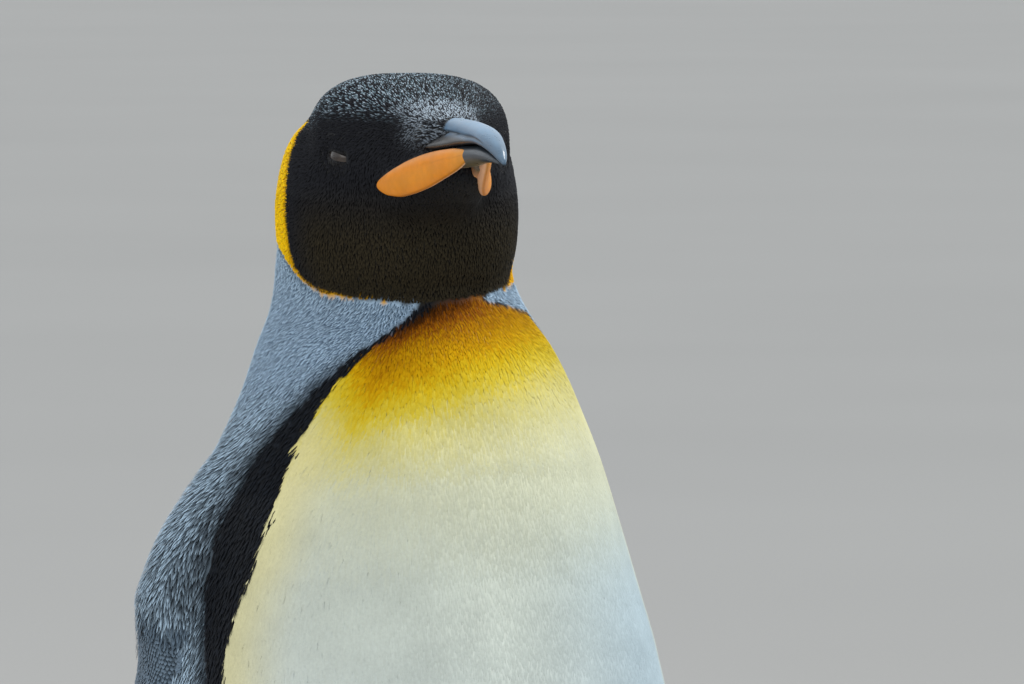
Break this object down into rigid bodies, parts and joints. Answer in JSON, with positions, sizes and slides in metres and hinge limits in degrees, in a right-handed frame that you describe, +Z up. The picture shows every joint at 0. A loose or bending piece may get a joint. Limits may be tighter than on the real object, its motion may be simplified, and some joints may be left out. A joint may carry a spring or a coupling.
{
  "type": "king penguin",
  "caption": "Life-size standing king penguin with its neck drawn in, a long curved bill and flippers at its sides, resting on webbed feet and tail.",
  "frame": {"origin": "on the floor under the middle of the whole bird's box, between the feet and the tail", "axes": "+X to the bird's left, +Y behind its back towards the tail, +Z up; the breast faces -Y"},
  "size_m": [0.2994, 0.3662, 0.7863],
  "materials": {
    "breast_feathers": "dense white feathers, orange to gold and yellow on the upper breast",
    "nape_feathers": "short silver-grey feathers with dark bases",
    "head_feathers": "very short black feathers, frosted on the crown, golden ear patches",
    "back_feathers": "small overlapping slate-grey feathers with pale tips",
    "bill_horn": "smooth slate-grey horn with a soft gloss",
    "bill_plate": "smooth orange plate with a satin gloss",
    "eye": "wet dark brown eye",
    "foot_skin": "black pebbled skin",
    "claw_horn": "dark horn"
  },
  "bodies": {
    "root": {"trunk": "breast_feathers", "neck": "nape_feathers", "head": "head_feathers", "bill_upper": "bill_horn", "bill_lower": "bill_horn", "plate_right": "bill_plate", "plate_left": "bill_plate", "eye_right": "eye", "eye_left": "eye", "tail": "back_feathers", "flipper_left": "back_feathers", "flipper_right": "back_feathers", "leg_left": "breast_feathers", "leg_right": "breast_feathers", "foot_left": "foot_skin", "foot_right": "foot_skin", "claw_inner_left": "claw_horn", "claw_middle_left": "claw_horn", "claw_outer_left": "claw_horn", "claw_hallux_left": "claw_horn", "claw_inner_right": "claw_horn", "claw_middle_right": "claw_horn", "claw_outer_right": "claw_horn", "claw_hallux_right": "claw_horn"}
  },
  "joints": []
}
